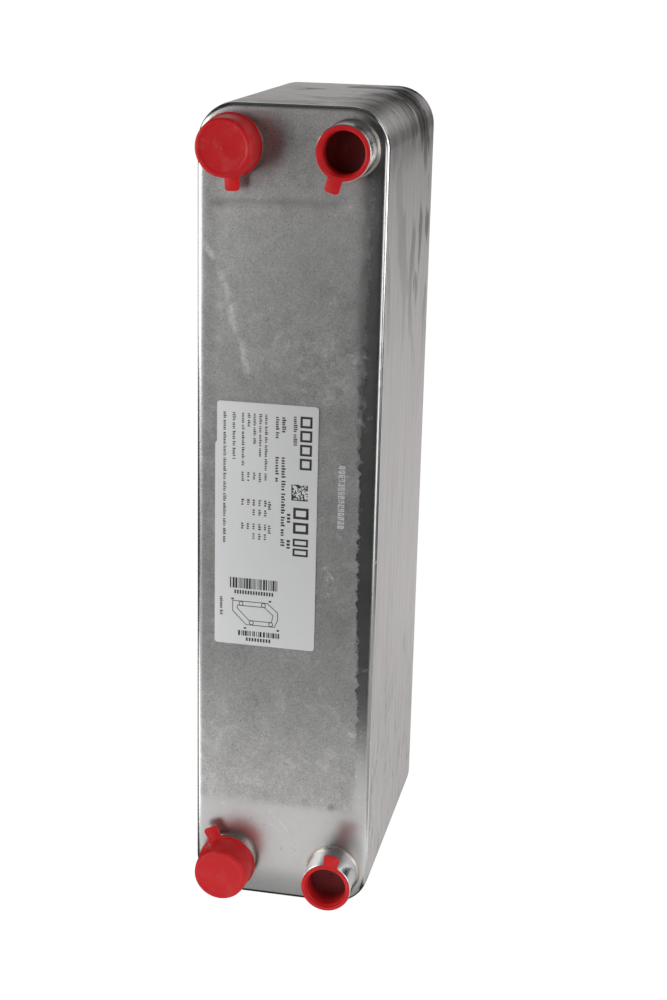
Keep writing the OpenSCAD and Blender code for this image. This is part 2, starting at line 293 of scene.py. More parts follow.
def plate_steel():
    """Nested plate rims: fine upright brushing, a tone of its own for each plate and dull blotches, and at
    the top right corner painted shade with light and dark bands along the rim steps, and smudges.
    """
    s = Shader("plate_steel")
    depth = s.math("DIVIDE", s.math("SUBTRACT", s.y, (FRONT_Y + COVER_T) * MM), PITCH * MM)
    plate = s.math("FLOOR", depth)
    tone = s.node("ShaderNodeTexWhiteNoise", {"W": plate}, noise_dimensions="1D").outputs[0]
    long_tone = s.noise(9, 2, 0.5, stretch=(1, 6, 1))
    on_top = s.ramp(s.z, 0.512, 0.524)
    upright = s.noise(420, 3, 0.6, stretch=(1, 1.5, 0.03))
    level_lines = s.noise(420, 3, 0.6, stretch=(0.03, 1.5, 1))
    brushed = s.add(s.times(upright, s.ramp(on_top, 0.0, 1.0, 1.0, 0.0)), s.times(level_lines, on_top))
    blotch = s.noise(46, 3, 0.5, stretch=(0.5, 0.75, 0.27), offset=(0.1, 0.4, 0.2), warp=0.25)
    smudge = s.noise(70, 5, 0.7, stretch=(0.6, 1.6, 0.6), offset=(0.2, 0.1, 0.4), warp=0.4)
    rear = s.ramp(s.y, 0.0, 0.05)
    upper = s.ramp(s.z, 0.33, 0.44)
    lower = s.ramp(s.z, 0.08, 0.20, 1.0, 0.0)
    # Painted shade on the rounded top right corner, where the side turns into the top.
    corner = s.times(s.ramp(s.z, 0.478, 0.508), s.ramp(s.x, 0.018, 0.040))
    rim_step_shade = s.math("PINGPONG", depth, 0.5)
    blotch_share = s.add(0.06, s.times(upper, s.add(0.30, s.times(rear, 0.64))))
    blotches = s.times(s.ramp(blotch, 0.53, 0.565), blotch_share)
    smudges = s.times(s.ramp(smudge, 0.48, 0.68), s.add(0.25, s.times(lower, 1.15), s.times(on_top, 0.9)))
    level = s.add(0.57, s.times(tone, 0.08), s.times(brushed, 0.14), s.times(long_tone, 0.06))
    # The corner term paints shade on the top right corner; the next line paints light and dark bands along
    # each rim step there, also painted shade; the line after adds smudges.
    level = s.add(level, s.times(blotches, -0.30), s.times(smudges, -0.13), s.times(corner, -0.10))
    level = s.add(level, s.times(corner, s.ramp(rim_step_shade, 0.0, 0.5, -0.16, 0.10)))
    level = s.add(level, s.times(corner, s.ramp(smudge, 0.42, 0.60), -0.10))
    colour = s.mix(1.0, s.grey(level), (1.0, 0.965, 0.950, 1), "MULTIPLY")
    rough = s.add(0.46, s.times(brushed, 0.06), s.times(blotches, 0.06), s.times(tone, 0.02))
    relief = s.bump(brushed, 0.10, 0.0002)
    return s.finish(Base_Color=colour, Metallic=1.0, Roughness=rough, Normal=relief)


def port_steel():
    """Turned fittings: bright steel with fine lathe rings and a trace of heat tint at the foot."""
    s = Shader("port_steel")
    rings = s.noise(1400, 2, 0.5, stretch=(0.02, 1, 0.02))
    cloud = s.noise(120, 3, 0.6)
    foot = s.ramp(s.y, (FRONT_Y - 5.0) * MM, (FRONT_Y - 0.5) * MM)
    level = s.add(0.66, s.times(cloud, 0.10), s.times(rings, 0.06))
    colour = s.mix(s.times(foot, 0.25), s.grey(level), (0.50, 0.36, 0.25, 1))
    rough = s.add(0.16, s.times(cloud, 0.08), s.times(rings, 0.08), s.times(foot, 0.08))
    relief = s.bump(rings, 0.12, 0.0001)
    return s.finish(Base_Color=colour, Metallic=1.0, Roughness=rough, Normal=relief)


def copper_braze():
    """Solidified copper with a duller, darker skin in places."""
    s = Shader("copper_braze")
    cloud = s.noise(220, 4, 0.65)
    skin = s.ramp(cloud, 0.40, 0.62)
    colour = s.mix(skin, (0.50, 0.42, 0.36, 1), (0.42, 0.39, 0.37, 1))
    rough = s.add(0.34, s.times(cloud, 0.20))
    relief = s.bump(s.noise(1100, 2, 0.6), 0.2, 0.0002)
    return s.finish(Base_Color=colour, Metallic=1.0, Roughness=rough, Normal=relief)


def seam_braze():
    """Thin braze line between two rims: mostly steel-coloured, copper only here and there."""
    s = Shader("seam_braze")
    cloud = s.noise(70, 4, 0.65, stretch=(1, 2, 0.5))
    skin = s.ramp(cloud, 0.50, 0.70)
    colour = s.mix(skin, (0.56, 0.54, 0.52, 1), (0.50, 0.41, 0.34, 1))
    rough = s.add(0.34, s.times(cloud, 0.15))
    return s.finish(Base_Color=colour, Metallic=1.0, Roughness=rough)


def red_plastic(name, hollow_shade_colour=None):
    """Soft moulded polyethylene: faint flow marks, scuffs and a fine matt skin, with painted shade darkening
    it towards the bottom.

    With a hollow shade colour it darkens towards that colour deeper inside a cup, where it lies over a dark
    socket: painted shade of the hollow.
    """
    s = Shader(name)
    flow = s.noise(60, 3, 0.5, stretch=(1, 0.4, 1))
    scuff = s.ramp(s.noise(700, 4, 0.7, stretch=(1, 1, 0.3)), 0.60, 0.75)
    dust = s.specks(900, 0.16, 0.04)
    colour = s.mix(flow, (0.70, 0.013, 0.017, 1), (0.82, 0.022, 0.028, 1))
    colour = s.mix(s.times(scuff, 0.16), colour, (0.80, 0.16, 0.15, 1))
    colour = s.mix(s.times(dust, 0.3), colour, (0.85, 0.5, 0.48, 1))
    rubbed = s.ramp(s.noise(95, 4, 0.65, offset=(0.2, 0.6, 0.1), warp=0.3), 0.50, 0.66)
    colour = s.mix(s.times(rubbed, 0.16), colour, (0.80, 0.20, 0.17, 1))
    # Painted shade: the red darkens towards the bottom, so the lower caps and plugs come out darker than the
    # upper ones.
    colour = s.mix(s.ramp(s.z, 0.05, 0.45, 0.26, 0.0), colour, (0.30, 0.008, 0.010, 1))
    if hollow_shade_colour:
        # Painted shade: darker deeper inside the cup's hollow.
        cup_shade = s.ramp(s.y, (FRONT_Y - 22) * MM, (FRONT_Y - 9) * MM)
        colour = s.mix(cup_shade, colour, hollow_shade_colour)
    rough = s.add(0.40, s.times(flow, 0.08), s.times(scuff, 0.18))
    relief = s.bump(s.noise(1600, 2, 0.5), 0.08, 0.0001)
    return s.finish(
        Base_Color=colour, Roughness=rough, Normal=relief, IOR=1.49, Specular_IOR_Level=0.25,
        Subsurface_Weight=0.15, Subsurface_Radius=(0.004, 0.0008, 0.0006), Subsurface_Scale=0.4,
    )


def label_paper():
    """White film with a faint fibre mottle and a soft varnish."""
    s = Shader("label_paper")
    mottle = s.noise(180, 3, 0.6)
    dust = s.specks(500, 0.14, 0.03)
    level = s.add(0.80, s.times(mottle, 0.03), s.times(dust, -0.15))
    colour = s.mix(1.0, s.grey(level), (0.985, 0.992, 1.0, 1), "MULTIPLY")
    rough = s.add(0.38, s.times(mottle, 0.10))
    relief = s.bump(s.noise(900, 2, 0.5), 0.05, 0.0001)
    return s.finish(Base_Color=colour, Roughness=rough, Normal=relief)


def print_ink(name, level):
    """Thermal print on the label, a little uneven."""
    s = Shader(name)
    wear = s.noise(900, 3, 0.7)
    tone = s.add(level, s.times(wear, 0.05))
    rough = s.add(0.45, s.times(wear, 0.1))
    return s.finish(Base_Color=s.grey(tone), Roughness=rough)


def stamped():
    """Dots peened into the plate, white and matt against the steel round them."""
    s = Shader("stamped_dots")
    wear = s.noise(600, 3, 0.7)
    tone = s.add(0.75, s.times(wear, 0.2))
    return s.finish(Base_Color=s.grey(tone), Roughness=s.add(0.6, s.times(wear, 0.1)))


COVER_STEEL = cover_steel()
PLATE_STEEL = plate_steel()
PORT_STEEL = port_steel()
COPPER = copper_braze()
SEAM = seam_braze()
RED = red_plastic("red_plastic")
# Red for the plug cups, with painted shade deeper inside each hollow.
RED_CUP_DARK_SHADE = red_plastic("red_cup_shaded_dark", (0.13, 0.010, 0.010, 1))
RED_CUP_BROWN_SHADE = red_plastic("red_cup_shaded_brown", (0.21, 0.026, 0.028, 1))
PAPER = label_paper()
INK = print_ink("ink_black", 0.012)
INK_GREY = print_ink("ink_grey", 0.02)
DOTS = stamped()


# ---------------------------------------------------------------- mesh helpers
def piece(name, verts, faces, material, body="pack", slot=None, stands_for=(), crease=32.0):
    """Makes a shaded mesh from millimetre points and lets it ride on a CAD body."""
    bm = bmesh.new()
    placed = [bm.verts.new(Vector(v) * MM) for v in verts]
    for face in faces:
        if len(set(face)) > 2:
            try:
                bm.faces.new([placed[i] for i in face])
            except ValueError:
                pass  # this face is already there
    bmesh.ops.remove_doubles(bm, verts=bm.verts, dist=1e-6)
    bmesh.ops.recalc_face_normals(bm, faces=bm.faces)
    mesh = bpy.data.meshes.new(name)
    bm.to_mesh(mesh)
    bm.free()
    mesh.materials.append(material)
    mesh.shade_smooth()
    mesh.set_sharp_from_angle(angle=math.radians(crease))
    made = bpy.data.objects.new(name, mesh)
    scene.collection.objects.link(made)
    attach(made, body)
    if stands_for:
        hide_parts(*stands_for)


def grid_faces(rows, columns, closed_rows=False):
    """Quads of a grid whose columns go all the way round, and with closed_rows its rows too."""
    faces = []
    for i in range(rows if closed_rows else rows - 1):
        for j in range(columns):
            a = i * columns + j
            b = i * columns + (j + 1) % columns
            c = ((i + 1) % rows) * columns + (j + 1) % columns
            d = ((i + 1) % rows) * columns + j
            faces.append((a, b, c, d))
    return faces


def rounded(points):
    """A closed outline with its corners rounded. Each point is (a, b, how far the rounding cuts in)."""
    steps = 3
    made = []
    count = len(points)
    for i, (a, b, cut) in enumerate(points):
        here = np.array([a, b], float)
        before = np.array(points[i - 1][:2], float) - here
        after = np.array(points[(i + 1) % count][:2], float) - here
        cut = min(cut, 0.48 * np.linalg.norm(before), 0.48 * np.linalg.norm(after))
        if cut < 1e-3:
            made.append(here)
            continue
        start = here + before / np.linalg.norm(before) * cut
        end = here + after / np.linalg.norm(after) * cut
        for t in np.linspace(0, 1, steps + 1):
            made.append((1 - t) ** 2 * start + 2 * t * (1 - t) * here + t**2 * end)
    return made


def turned(rings, port, steps, closed=True):
    """A turned shape round a port's axis. Rings are (radius or radii, height above the cover)."""
    x, z = port_centre(port)
    angles = np.linspace(0, 2 * math.pi, steps, endpoint=False)
    verts = []
    for radius, height in rings:
        radii = np.broadcast_to(radius, angles.shape)
        heights = np.broadcast_to(height, angles.shape)
        for r, e, a in zip(radii, heights, angles):
            verts.append((x + r * math.cos(a), FRONT_Y - e, z + r * math.sin(a)))
    return verts, grid_faces(len(rings), steps, closed)


def outline_path(arc_steps, side_step):
    """Points on the rectangle through the corner centres, and the outward direction at each."""
    corners = [(INNER_X, -INNER_Z), (INNER_X, INNER_Z), (-INNER_X, INNER_Z), (-INNER_X, -INNER_Z)]
    base, out = [], []
    for i, (x, z) in enumerate(corners):
        for k in range(arc_steps + 1):
            a = math.radians(-90 + 90 * i + 90 * k / arc_steps)
            base.append((x, z))
            out.append((math.cos(a), math.sin(a)))
        x1, z1 = corners[(i + 1) % 4]
        count = max(1, round(math.hypot(x1 - x, z1 - z) / side_step))
        for k in range(1, count):
            base.append((x + (x1 - x) * k / count, z + (z1 - z) * k / count))
            out.append(out[-1])
    return np.array(base), np.array(out)


def swept(section, base, out):
    """A section (distance outwards, y) carried round the outline. The distances may be arrays."""
    verts = []
    for radius, y in section:
        radii = np.broadcast_to(radius, (len(base),))
        depths = np.broadcast_to(y, (len(base),))
        points = base + out * radii[:, None]
        verts.extend((p[0], d, p[1] + MID_Z) for p, d in zip(points, depths))
    return verts


def flat_field(loop, holes, xs, zs, y_at):
    """Triangles that fill a flat outline round some holes, with inner points on a grid."""
    hole_steps = 64
    clear = 1.0
    turns = np.linspace(0, 2 * math.pi, hole_steps, endpoint=False)
    points = [Vector(p) for p in loop]
    edges = [(i, (i + 1) % len(loop)) for i in range(len(loop))]
    for x, z, r in holes:
        start = len(points)
        points.extend(Vector((x + r * math.cos(a), z + r * math.sin(a))) for a in turns)
        edges.extend((start + i, start + (i + 1) % hole_steps) for i in range(hole_steps))
    limit_x = max(p[0] for p in loop)
    limit_z = max(p[1] for p in loop)
    low_z = min(p[1] for p in loop)
    middle = (limit_z + low_z) / 2
    reach = limit_x - INNER_X
    grid = []
    for x in xs:
        for z in zs:
            over_x = max(abs(x) - INNER_X, 0)
            over_z = max(abs(z - middle) - INNER_Z, 0)
            if math.hypot(over_x, over_z) > reach - clear:
                continue
            if any(math.hypot(x - hx, z - hz) < r + clear for hx, hz, r in holes):
                continue
            grid.append(Vector((x, z)))
    out_points, _, triangles, *_ = delaunay_2d_cdt(points + grid, edges, [], 0, 1e-6)
    verts = [(p.x, y_at(p.x, p.y), p.y) for p in out_points]
    faces = []
    for a, b, c in triangles:
        middle_point = (out_points[a] + out_points[b] + out_points[c]) / 3
        if all(math.hypot(middle_point.x - hx, middle_point.y - hz) > r for hx, hz, r in holes):
            faces.append((a, b, c))
    return verts, faces


def joined(*parts):
    """Several (verts, faces) as one."""
    verts, faces = [], []
    for part_verts, part_faces in parts:
        start = len(verts)
        verts.extend(part_verts)
        faces.extend(tuple(i + start for i in face) for face in part_faces)
    return verts, faces


# ---------------------------------------------------------------- cover plates
def smooth(value):
    """Smooth step from 0 to 1."""
    value = min(max(value, 0.0), 1.0)
    return value * value * (3 - 2 * value)


def front_dip(x, z):
    """How far the front face is pressed in: a shallow crease under the upper ports, and slight waves."""
    across = smooth((x + 50) / 10) * smooth((40 - x) / 12)
    crease_z = CREASE_Z + 0.02 * x
    crease = 0.40 * math.exp(-(((z - crease_z) / 2.8) ** 2)) * across
    edge = smooth((54.5 - abs(x)) / 8) * smooth((z - 4) / 10) * smooth((525 - z) / 10)
    wave = 0.5 + 0.5 * noise.noise(Vector((x * 0.017, 3.1, z * 0.011)))
    ripple = 0.5 + 0.5 * noise.noise(Vector((x * 0.05, 7.7, z * 0.045)))
    return crease + edge * (0.30 * wave + 0.05 * ripple)


def front_cover():
    """The front plate with its four port holes and wide rounded edge."""
    back_lip = 3.0
    base, out = outline_path(20, 5)
    arc = [math.radians(a) for a in np.linspace(0, 90, 13)]
    section = [(COVER_R - EDGE_W * (1 - math.sin(a)), FRONT_Y + COVER_T * (1 - math.cos(a))) for a in arc]
    section.append((COVER_R - back_lip, FRONT_Y + COVER_T))
    edge = swept(section, base, out), grid_faces(len(section), len(base))
    loop = [(v[0], v[2]) for v in edge[0][: len(base)]]
    holes = [(*port_centre(name), FOOT_R) for name in PORTS]
    xs = np.arange(-54, 54.1, 3)
    zs = np.concatenate([np.arange(6, 455, 4), np.arange(456, 482, 0.8), np.arange(484, 524, 4)])
    field = flat_field(loop, holes, xs, zs, lambda x, z: FRONT_Y + front_dip(x, z))
    piece(
        "front_cover", *joined(edge, field), COVER_STEEL,
        slot="cover_steel", stands_for=["front_cover_plate"], crease=40,
    )


def rear_cover():
    """The blank rear plate, slightly wavy, with its edge rounded."""
    edge_r = 0.7
    base, out = outline_path(20, 8)
    arc = [math.radians(a) for a in np.linspace(0, 90, 6)]
    section = [(REAR_OUTER - edge_r * (1 - math.sin(a)), REAR_Y - edge_r * (1 - math.cos(a))) for a in arc]
    section.append((REAR_OUTER, REAR_LOW[1]))
    edge = swept(section, base, out), grid_faces(len(section), len(base))
    loop = [(v[0], v[2]) for v in edge[0][: len(base)]]

    def back_y(x, z):
        inside = smooth((55 - abs(x)) / 8) * smooth((z - 4) / 10) * smooth((525 - z) / 10)
        wave = 0.5 + 0.5 * noise.noise(Vector((x * 0.02, 9.3, z * 0.012)))
        return REAR_Y - inside * 0.35 * wave

    field = flat_field(loop, [], np.arange(-54, 54.1, 4), np.arange(6, 524, 5), back_y)
    piece(
        "rear_cover", *joined(edge, field), COVER_STEEL,
        slot="cover_steel", stands_for=["rear_cover_plate"], crease=40,
    )


# ---------------------------------------------------------------- braze seams between the rims
def seams():
    """A thin fillet of braze in the step behind every rim, uneven along its length."""
    tuck = 0.02
    under = CORNER_R - PITCH * RIM_SLOPE
    base, out = outline_path(12, 10)
    parts = []
    for i in range(SHEETS - 1):
        end = FRONT_Y + COVER_T + i * PITCH + RIM_LEN
        seed = i * 0.73
        swell = np.array([noise.noise(Vector((p[0] * 0.06 + seed, seed * 3.1, p[1] * 0.03))) for p in base])
        width = 0.34 + 0.22 * swell
        height = 0.26 + 0.12 * swell
        section = [
            (under + height, end - tuck),
            (under + height * 0.30, end + width * 0.35),
            (under + width * RIM_SLOPE - tuck, end + width),
        ]
        parts.append((swept(section, base, out), grid_faces(3, len(base))))
    return joined(*parts)


def rear_seam():
    """The ring of braze between the last rim and the rear cover."""
    base, out = outline_path(16, 10)
    swell = np.array([noise.noise(Vector((p[0] * 0.07, 5.5, p[1] * 0.05))) for p in base])
    section = [
        (REAR_OUTER - 0.3, REAR_Y - 0.75),
        (REAR_OUTER + 0.25, REAR_Y - 0.55 + 0.2 * swell),
        (CORNER_R - SHEET + 0.05, REAR_Y - 0.25 + 0.15 * swell),
    ]
    return swept(section, base, out), grid_faces(3, len(base))


# ---------------------------------------------------------------- ports
PORT_STEPS = 144
THREAD_START = 7.0
THREAD_END = 21.0
THREAD_PITCH = 2.309
THREAD_R = 16.5
THREAD_ROOT_R = 15.15


def port_top(name):
    """Height of a port's end above the front cover."""
    return FRONT_Y - box_mm(name + "_port")[0][1]


def thread_radii(height, steps):
    """Radius of a right-hand helical thread round its axis, fading out at both ends."""
    turn = np.linspace(0, 1, steps, endpoint=False)
    phase = ((height - THREAD_START) / THREAD_PITCH + turn) % 1
    ridge = 1 - np.abs(phase - 0.5) * 2
    ridge = np.clip(ridge * 1.28 - 0.14, 0, 1)
    run = smooth((height - THREAD_START + 0.4) / 1.6) * smooth((THREAD_END + 0.6 - height) / 1.6)
    return THREAD_ROOT_R + (THREAD_R - THREAD_ROOT_R) * ridge * run


def threaded_port(name):
    """A fitting with an outside thread and a solder socket that ends on a ledge."""
    top = port_top(name)
    bore_r = 10.0
    socket_r = 11.05
    ledge = 8.0
    outside = rounded([
        (bore_r, -FOOT_DEPTH, 0), (FOOT_R, -FOOT_DEPTH, 0), (FOOT_R, 0, 0), (LEFT_FOOT_R, 0, 0.05),
        (LEFT_FOOT_R, 5.5, 0.35), (THREAD_ROOT_R, 6.0, 0.4), (THREAD_ROOT_R, 6.4, 0),
    ])
    helix = [(thread_radii(e, PORT_STEPS), e) for e in np.arange(6.5, 22.0, THREAD_PITCH / 14)]
    inside = rounded([
        (THREAD_ROOT_R, 22.2, 0), (THREAD_ROOT_R, top - 0.5, 0.2), (THREAD_ROOT_R - 0.5, top, 0.2),
        (socket_r, top, 0.5), (socket_r, ledge, 0.1), (bore_r, ledge, 0.2),
    ])
    piece(
        name + "_thread_stub", *turned(outside + helix + inside, name, PORT_STEPS), PORT_STEEL,
        slot="port_steel", stands_for=[name + "_port"],
    )


def socket_port(name):
    """A plain tube with a wide mouth, then a solder socket that ends on a ledge."""
    top = port_top(name)
    bore_r = 12.85
    socket_r = 14.05
    mouth_r = 14.3
    tube_r = 16.75
    rings = rounded([
        (bore_r, -FOOT_DEPTH, 0), (FOOT_R, -FOOT_DEPTH, 0), (FOOT_R, 0, 0), (RIGHT_FOOT_R, 0, 0.05),
        (RIGHT_FOOT_R, 1.6, 0.35), (tube_r, 2.1, 0.4), (tube_r, top - 0.4, 0.25), (tube_r - 0.4, top, 0.25),
        (mouth_r, top, 0.35), (mouth_r, 7.0, 0), (socket_r, 7.0, 0.1), (socket_r, 0, 0.1), (bore_r, 0, 0.2),
    ])
    piece(
        name + "_socket_tube", *turned(rings, name, PORT_STEPS), PORT_STEEL,
        slot="port_steel", stands_for=[name + "_port"],
    )


def braze_fillet(name, inner, mean_width, mean_height):
    """A concave copper fillet whose width and height wander round the fitting."""
    steps = 120
    tuck = 0.05
    x, z = port_centre(name)
    turns = np.linspace(0, 2 * math.pi, steps, endpoint=False)
    places = [Vector((2.2 * math.cos(a) + x, 2.2 * math.sin(a), z * 0.1)) for a in turns]
    wander = np.array([noise.noise(p) for p in places])
    width = mean_width * (1 + 0.4 * wander)
    height = mean_height * (1 + 0.4 * wander)
    rings = [(inner - tuck, 0.0), (inner - tuck, height)]
    for t in (0.25, 0.5, 0.75, 1.0):
        rings.append((inner + width * t**1.2, height * (1 - t) ** 2))
    rings.append((inner + width, -0.1))
    piece(
        name + "_braze_fillet", *turned(rings, name, steps), COPPER,
        slot="copper", stands_for=[name + "_braze_ring"],
    )


# ---------------------------------------------------------------- caps and plugs
CAP_STEPS = 128
FLANGE_R = 19.4
PLUG_RIM_R = 16.3
TAB_REACH = 8.0
TAB_HALF_W = 4.6
TAB_T = 1.2


def pull_tab(port, root_r, low_e, direction, flare):
    """A pull tab with a rounded tip and filleted root, its edges softened."""
    fillet = 1.0
    tip = 2.3
    tip_r = root_r + TAB_REACH
    tip_w = TAB_HALF_W + flare
    centre_t = TAB_HALF_W + fillet
    centre_s = math.sqrt((root_r + fillet) ** 2 - centre_t**2)
    root_turn = math.atan2(centre_t, centre_s)
    side = [((root_r - 0.6) * math.cos(root_turn), (root_r - 0.6) * math.sin(root_turn))]
    for turn in np.linspace(root_turn - math.pi, -math.pi / 2, 7):
        side.append((centre_s + fillet * math.cos(turn), centre_t + fillet * math.sin(turn)))
    for a in np.linspace(90, 0, 7):
        turn = math.radians(a)
        side.append((tip_r - tip + tip * math.cos(turn), tip_w - tip + tip * math.sin(turn)))
    outline = side + [(s, -t) for s, t in reversed(side)]
    x, z = port_centre(port)
    turn = math.radians(direction)
    along = np.array([math.cos(turn), math.sin(turn)])
    across = np.array([-math.sin(turn), math.cos(turn)])
    soft = 0.22
    layers = [
        (soft, 0.0), (soft * 0.3, soft * 0.3), (0, soft),
        (0, TAB_T - soft), (soft * 0.3, TAB_T - soft * 0.3), (soft, TAB_T),
    ]
    verts = []
    middle = np.mean(outline, axis=0)
    for inset, rise in layers:
        for s, t in outline:
            away = np.array([s, t]) - middle
            away = away / np.linalg.norm(away)
            point = along * (s - away[0] * inset) + across * (t - away[1] * inset)
            verts.append((x + point[0], FRONT_Y - low_e - rise, z + point[1]))
    count = len(outline)
    faces = grid_faces(len(layers), count)
    faces.append(tuple(range(count - 1, -1, -1)))
    faces.append(tuple(range((len(layers) - 1) * count, len(layers) * count)))
    return verts, faces


def cap(name, direction, flare):
    """A tapered cap with a sunken end, a flange and a pull tab that points in a direction."""
    top = FRONT_Y - box_mm(name + "_cap")[0][1]
    seat = 6.2
    rings = rounded([
        (0, top - 0.05, 0), (0.9, top - 0.05, 0.2), (1.3, top - 0.42, 0.2), (14.2, top - 0.42, 0.4),
        (14.9, top, 0.35), (16.45, top, 0.5), (17.42, top - 1.0, 0.5), (18.02, 21.4, 1.0),
        (18.52, 9.0, 0.4), (18.32, 8.1, 0.3), (18.5, 7.55, 0.2), (FLANGE_R - 0.15, 7.45, 0.15),
        (FLANGE_R, 7.2, 0.1), (FLANGE_R, 6.4, 0.15), (FLANGE_R - 0.2, seat, 0.1),
        (17.95, seat, 0.2), (17.95, 7.5, 0.2), (17.35, 21.4, 0.5),
        (16.75, top - 0.95, 0.3), (0, top - 0.95, 0),
    ])
    body = turned(rings, name, CAP_STEPS)
    tab = pull_tab(name, FLANGE_R, seat, direction, flare)
    piece(
        name + "_cap_shell", *joined(body, tab), RED, body=name + "_cap",
        slot="red_plastic", stands_for=[name + "_cap"],
    )


def plug(name, direction, flare, ring_nub, cup_material):
    """A cup-shaped plug: its outside, rim and tab are one piece, the inside of the cup is another."""
    face = FRONT_Y - box_mm(name + "_plug")[0][1]
    seat = face - 1.25
    tip = FRONT_Y - box_mm(name + "_plug")[1][1]
    floor = tip + 0.9
    hub = [(1.0, floor, 0.15), (1.0, floor + 0.6, 0.2), (0, floor + 0.6, 0)]
    if ring_nub:
        hub = [
            (1.9, floor, 0.15), (1.8, floor + 0.7, 0.2), (1.1, floor + 0.7, 0.2),
            (1.0, floor + 0.15, 0.1), (0, floor + 0.15, 0),
        ]
    outside = rounded([
        (0, tip, 0), (12.8, tip, 0.5), (13.3, tip + 0.5, 0.4), (13.9, seat, 0.15), (PLUG_RIM_R, seat, 0.15),
        (PLUG_RIM_R, face - 0.3, 0.2), (PLUG_RIM_R - 0.3, face, 0.25), (15.0, face, 0),
    ])
    inside = rounded([
        (15.0, face, 0), (14.0, face, 0.35), (13.45, face - 1.9, 0.3), (13.0, face - 2.2, 0.2),
        (12.4, floor, 0.9), *hub,
    ])
    shell = turned(outside, name, CAP_STEPS, closed=False)
    tab = pull_tab(name, PLUG_RIM_R, seat, direction, flare)
    piece(
        name + "_plug_shell", *joined(shell, tab), RED, body=name + "_plug",
        slot="red_plastic", stands_for=[name + "_plug"],
    )
    piece(
        name + "_plug_cup", *turned(inside, name, CAP_STEPS, closed=False), cup_material,
        body=name + "_plug", slot="red_plastic",
    )


# ---------------------------------------------------------------- labels
LABEL_LOW, LABEL_HIGH = box_mm("type_label")
UNDER_LOW, UNDER_HIGH = box_mm("under_label")


def film(name, low, high, stands_for):
    """A thin rounded sheet of label film with a slightly raised rim of adhesive at its edge."""
    radius = 2.0
    corners = [
        (high[0] - radius, high[2] - radius, 0), (low[0] + radius, high[2] - radius, 90),
        (low[0] + radius, low[2] + radius, 180), (high[0] - radius, low[2] + radius, 270),
    ]
    outline = []
    for x, z, start in corners:
        for k in range(9):
            a = math.radians(start + 90 * k / 8)
            outline.append((x, z, math.cos(a), math.sin(a)))
    verts = []
    for inset, y in ((0, high[1]), (0, low[1] + 0.03), (0.05, low[1])):
        verts.extend((x + (radius - inset) * cx, y, z + (radius - inset) * cz) for x, z, cx, cz in outline)
    count = len(outline)
    faces = grid_faces(3, count)
    faces.append(tuple(range(2 * count, 3 * count)))
    piece(name, verts, faces, PAPER, slot="label", stands_for=stands_for)


class Artwork:
    """Flat shapes just above the label, in millimetres right and down from its top left corner."""

    def __init__(self):
        self.verts, self.faces = [], []

    def shape(self, points):
        start = len(self.verts)
        y = LABEL_LOW[1] - 0.02
        self.verts.extend((LABEL_LOW[0] + u, y, LABEL_HIGH[2] - v) for u, v in points)
        self.faces.append(tuple(range(start, start + len(points))))

    def block(self, u0, u1, v0, v1):
        self.shape([(u0, v0), (u1, v0), (u1, v1), (u0, v1)])

    def frame(self, u0, u1, v0, v1, line):
        self.block(u0, u1, v0, v0 + line)
        self.block(u0, u1, v1 - line, v1)
        self.block(u0, u0 + line, v0 + line, v1 - line)
        self.block(u1 - line, u1, v0 + line, v1 - line)

    def line(self, start, end, width):
        a, b = np.array(start, float), np.array(end, float)
        side = np.array([-(b - a)[1], (b - a)[0]])
        side = side / np.linalg.norm(side) * width / 2
        self.shape([a + side, b + side, b - side, a - side])

    def ring(self, u, v, radius, width):
        turns = np.linspace(0, 2 * math.pi, 17)
        inner = radius - width
        for a, b in zip(turns, turns[1:]):
            corners = [(inner, a), (radius, a), (radius, b), (inner, b)]
            self.shape([(u + r * math.cos(t), v + r * math.sin(t)) for r, t in corners])

    def row(self, u0, u1, v0, v1, pitch):
        """Plain blocks in word-like groups that stand for a line of small print running down."""
        v = v0
        while v < v1:
            for _ in range(int(rng.integers(3, 9))):
                width = pitch * rng.uniform(0.50, 0.72)
                if v + width > v1:
                    return
                high = u1 - (u1 - u0) * rng.choice([0.0, 0.25, 0.25])
                self.block(u0, high, v, v + width)
                v += pitch
            v += pitch * 0.8

    def bars(self, u0, u1, v0, v1):
        """A bar pattern of random widths across the label."""
        u = u0
        while u < u1:
            width = rng.choice([0.45, 0.45, 0.9, 1.35])
            self.block(u, min(u + width, u1), v0, v1)
            u += width + rng.choice([0.45, 0.45, 0.9])

    def digits(self, u0, u1, v0, v1, count):
        """Plain blocks side by side that stand for a line of print running across."""
        pitch = (u1 - u0) / count
        for i in range(count):
            self.block(u0 + i * pitch, u0 + (i + 0.62) * pitch, v0, v1)

    def matrix(self, u0, v0, size, cells):
        """A square of random cells with two solid sides."""
        step = size / cells
        for i in range(cells):
            for j in range(cells):
                if i == 0 or j == cells - 1 or rng.random() < 0.48:
                    self.block(u0 + i * step, u0 + (i + 1) * step, v0 + j * step, v0 + (j + 1) * step)


